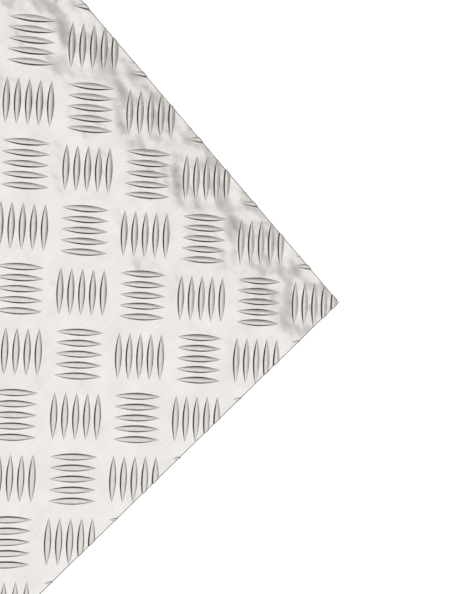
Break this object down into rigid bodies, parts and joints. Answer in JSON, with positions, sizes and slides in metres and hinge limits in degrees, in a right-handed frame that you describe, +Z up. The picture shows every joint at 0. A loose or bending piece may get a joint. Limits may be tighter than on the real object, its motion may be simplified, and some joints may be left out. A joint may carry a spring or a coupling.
{
  "type": "aluminium checker plate sheet",
  "caption": "Flat rectangular sheet of bare aluminium checker plate, with raised bars in crossed groups on its upper face.",
  "frame": {"origin": "centre of the flat underside, on the surface that the sheet lies on", "axes": "+X along the sheet's long edges and its rolling grain, +Y across it, +Z up out of the tread"},
  "size_m": [0.5, 0.25, 0.0025],
  "materials": {
    "aluminium": "bright mill finish, rolled tread, fine rolling grain along the length"
  },
  "bodies": {
    "root": {"checker_plate": "aluminium"}
  },
  "joints": []
}
